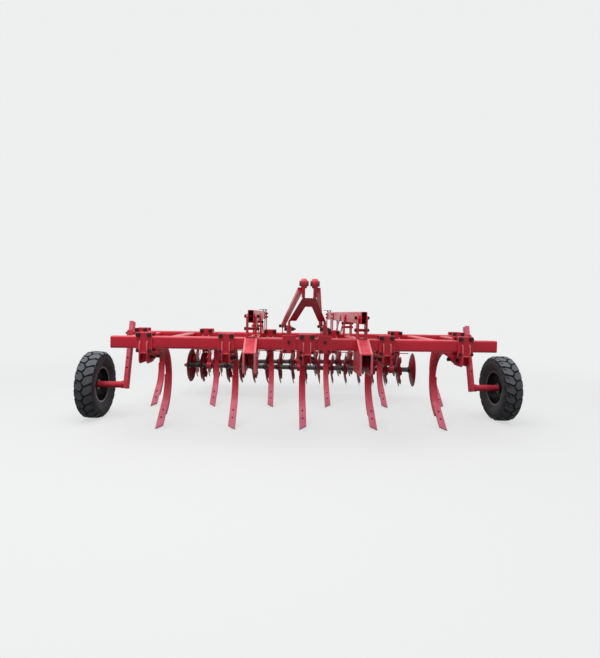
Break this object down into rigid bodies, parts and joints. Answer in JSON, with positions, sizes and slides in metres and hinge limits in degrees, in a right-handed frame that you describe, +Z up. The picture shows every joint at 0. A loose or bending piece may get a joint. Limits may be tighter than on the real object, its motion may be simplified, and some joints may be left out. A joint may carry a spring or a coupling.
{
  "type": "subsoiler",
  "caption": "Mounted subsoiler with curved shanks under a twin-beam tube frame, gauge wheels on leaning posts and a floating double disc harrow.",
  "frame": {"origin": "middle of the footprint on the ground, under the machine", "axes": "+X to the right as seen from the front (tractor) side, +Y rearwards, towards the disc unit, +Z up"},
  "size_m": [5.2372, 3.9688, 1.637],
  "materials": {
    "red_paint": "gloss red paint",
    "worn_red_paint": "faded red paint, dusty",
    "disc_red_paint": "dark red paint",
    "tyre_rubber": "black rubber",
    "rim_paint": "black paint"
  },
  "bodies": {
    "frame": {"beam_front": "red_paint", "beam_rear": "red_paint", "member_left_outer": "red_paint", "member_left_middle": "red_paint", "member_left_inner": "red_paint", "member_right_inner": "red_paint", "member_right_middle": "red_paint", "member_right_outer": "red_paint", "holder_front_1": "red_paint", "holder_front_2": "red_paint", "holder_front_3": "red_paint", "holder_front_4": "red_paint", "holder_front_5": "red_paint", "holder_rear_1": "red_paint", "holder_rear_2": "red_paint", "holder_rear_3": "red_paint", "holder_rear_4": "red_paint", "holder_rear_5": "red_paint", "holder_rear_6": "red_paint", "tine_front_1": "worn_red_paint", "tine_front_2": "worn_red_paint", "tine_front_3": "worn_red_paint", "tine_front_4": "worn_red_paint", "tine_front_5": "worn_red_paint", "tine_rear_1": "worn_red_paint", "tine_rear_2": "worn_red_paint", "tine_rear_3": "worn_red_paint", "tine_rear_4": "worn_red_paint", "tine_rear_5": "worn_red_paint", "tine_rear_6": "worn_red_paint", "mast": "red_paint", "mast_foot_left": "red_paint", "mast_foot_right": "red_paint", "mast_stay_left": "red_paint", "mast_stay_right": "red_paint", "hitch_bracket_left": "red_paint", "hitch_bracket_right": "red_paint", "upright_front_left": "red_paint", "upright_front_right": "red_paint", "upright_rear_left": "red_paint", "upright_rear_right": "red_paint", "post_sleeve_left": "red_paint", "post_sleeve_right": "red_paint"},
    "post_left": {"wheel_post_left": "worn_red_paint"},
    "post_right": {"wheel_post_right": "worn_red_paint"},
    "wheel_left": {"tyre_left": "tyre_rubber", "rim_left": "rim_paint"},
    "wheel_right": {"tyre_right": "tyre_rubber", "rim_right": "rim_paint"},
    "disc_unit": {"arm_left": "red_paint", "arm_right": "red_paint", "gang_beam_front": "red_paint", "gang_beam_rear": "red_paint"},
    "gang_front": {"disc_gang_front": "disc_red_paint"},
    "gang_rear": {"disc_gang_rear": "disc_red_paint"}
  },
  "joints": [
    {"name": "disc_unit_lift", "type": "hinge", "parent": "frame", "child": "disc_unit", "pos_m": [0, -1.6124, 1.275], "axis": [1, 0, 0], "range_deg": [0, 8]},
    {"name": "gang_front_spin", "type": "hinge", "parent": "disc_unit", "child": "gang_front", "pos_m": [0, 0.7826, 0.475], "axis": [0.9962, -0.0872, 0], "continuous": true},
    {"name": "gang_rear_spin", "type": "hinge", "parent": "disc_unit", "child": "gang_rear", "pos_m": [0, 1.5826, 0.475], "axis": [0.9962, 0.0872, 0], "continuous": true},
    {"name": "wheel_height_left", "type": "slide", "parent": "frame", "child": "post_left", "axis": [0, 0.2756, 0.9613], "range_m": [0, 0.375]},
    {"name": "wheel_height_right", "type": "slide", "parent": "frame", "child": "post_right", "axis": [0, 0.2756, 0.9613], "range_m": [0, 0.375]},
    {"name": "wheel_left_spin", "type": "hinge", "parent": "post_left", "child": "wheel_left", "pos_m": [-2.5111, -0.57859, 0.405], "axis": [1, 0, 0], "continuous": true},
    {"name": "wheel_right_spin", "type": "hinge", "parent": "post_right", "child": "wheel_right", "pos_m": [2.5111, -0.57859, 0.405], "axis": [1, 0, 0], "continuous": true}
  ]
}
